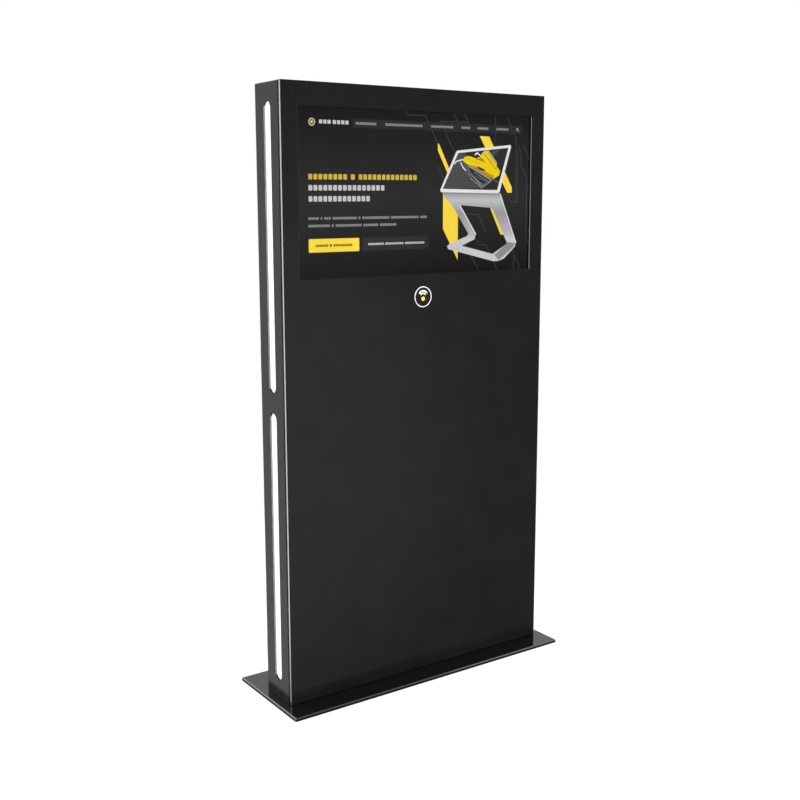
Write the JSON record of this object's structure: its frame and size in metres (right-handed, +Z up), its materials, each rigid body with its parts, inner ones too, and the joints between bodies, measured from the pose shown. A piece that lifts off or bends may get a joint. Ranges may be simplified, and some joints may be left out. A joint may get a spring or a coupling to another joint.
{
  "type": "touchscreen kiosk",
  "caption": "Free-standing flat floor kiosk with a wide landscape touchscreen near the top, lit side slots, rear service door and a thin steel base plate.",
  "frame": {"origin": "on the floor, at the middle of the base plate's footprint", "axes": "+Z up, the screen faces -Y, +X to the right for a person facing the screen"},
  "size_m": [1.134, 0.382, 2.011],
  "materials": {
    "black_sheet": "satin black powder coat",
    "gloss_plate": "high-gloss black",
    "rubber_black": "matte black",
    "zinc_steel": "zinc plated",
    "black_screws": "black oxide",
    "hinge_steel": "black powder coat",
    "bright_steel": "polished",
    "badge": "printed",
    "clear_glass": "clear",
    "sensor_film": "clear film",
    "lcd": "dark lit screen",
    "circuit_board": "solder mask",
    "dark_plastic": "matte moulded",
    "opal_acrylic": "opal, lit from behind",
    "anodised": "anodised",
    "led_board": "white solder mask",
    "device_grey": "satin grey",
    "button_silver": "satin",
    "driver_case": "satin",
    "strip_plastic": "matte white",
    "rocker_red": "translucent red",
    "cable_jacket": "black jacket",
    "guard_steel": "plated"
  },
  "bodies": {
    "cabinet": {"base_plate": "gloss_plate", "foot_pads": "rubber_black", "base_brackets": "zinc_steel", "base_bolts": "zinc_steel", "inner_frame": "zinc_steel", "front_panel": "black_sheet", "side_panel_left": "black_sheet", "side_panel_right": "black_sheet", "top_panel": "black_sheet", "rear_cover": "black_sheet", "rear_crossrail": "black_sheet", "rear_sill": "black_sheet", "front_clips": "zinc_steel", "panel_screws": "black_screws", "emblem_badge": "badge", "touch_glass": "clear_glass", "touch_sensor": "sensor_film", "glass_gasket": "rubber_black", "glass_retainer": "zinc_steel", "lcd_panel": "lcd", "lcd_driver_board": "circuit_board", "touch_controller": "dark_plastic", "display_rail_left": "zinc_steel", "display_rail_right": "zinc_steel", "diffuser_left_lower": "opal_acrylic", "diffuser_left_upper": "opal_acrylic", "diffuser_right_lower": "opal_acrylic", "diffuser_right_upper": "opal_acrylic", "light_channel_left_lower": "anodised", "light_channel_left_upper": "anodised", "light_channel_right_lower": "anodised", "light_channel_right_upper": "anodised", "led_strip_left_lower": "led_board", "led_strip_left_upper": "led_board", "led_strip_right_lower": "led_board", "led_strip_right_upper": "led_board", "equipment_plate": "zinc_steel", "mini_pc": "device_grey", "led_driver": "driver_case", "power_strip": "strip_plastic", "mains_inlet": "dark_plastic", "mains_lead": "cable_jacket", "display_cable": "cable_jacket", "usb_cable": "cable_jacket", "fan_housing_left": "dark_plastic", "fan_housing_right": "dark_plastic", "fan_guard_left": "guard_steel", "fan_guard_right": "guard_steel", "fan_screws": "black_screws", "hinge_fixed_leaves": "hinge_steel", "hinge_pins": "bright_steel"},
    "door": {"service_door": "black_sheet", "door_gasket": "rubber_black", "hinge_moving_leaves": "hinge_steel", "lock_housing": "bright_steel"},
    "lock_cam": {"lock_cam": "bright_steel"},
    "fan_left": {"fan_rotor_left": "dark_plastic"},
    "fan_right": {"fan_rotor_right": "dark_plastic"},
    "power_rocker": {"power_rocker": "rocker_red"},
    "pc_button": {"pc_power_button": "button_silver"}
  },
  "joints": [
    {"name": "door_hinge", "type": "hinge", "parent": "cabinet", "child": "door", "pos_m": [-0.515, 0.0575, 0.65775], "axis": [0, 0, 1], "range_deg": [0, 110]},
    {"name": "lock_turn", "type": "hinge", "parent": "door", "child": "lock_cam", "pos_m": [0.48, 0.053, 0.65775], "axis": [0, 1, 0], "range_deg": [0, 90]},
    {"name": "fan_left_spin", "type": "hinge", "parent": "cabinet", "child": "fan_left", "pos_m": [-0.25, 0.036, 1.851], "axis": [0, 1, 0], "continuous": true},
    {"name": "fan_right_spin", "type": "hinge", "parent": "cabinet", "child": "fan_right", "pos_m": [0.25, 0.036, 1.851], "axis": [0, 1, 0], "continuous": true},
    {"name": "power_rocker_tilt", "type": "hinge", "parent": "cabinet", "child": "power_rocker", "pos_m": [0.18, -0.0215, 0.648], "axis": [0, 0, -1], "range_deg": [0, 16]},
    {"name": "pc_button_press", "type": "slide", "parent": "cabinet", "child": "pc_button", "axis": [0, -1, 0], "range_m": [0, 0.0015]}
  ]
}
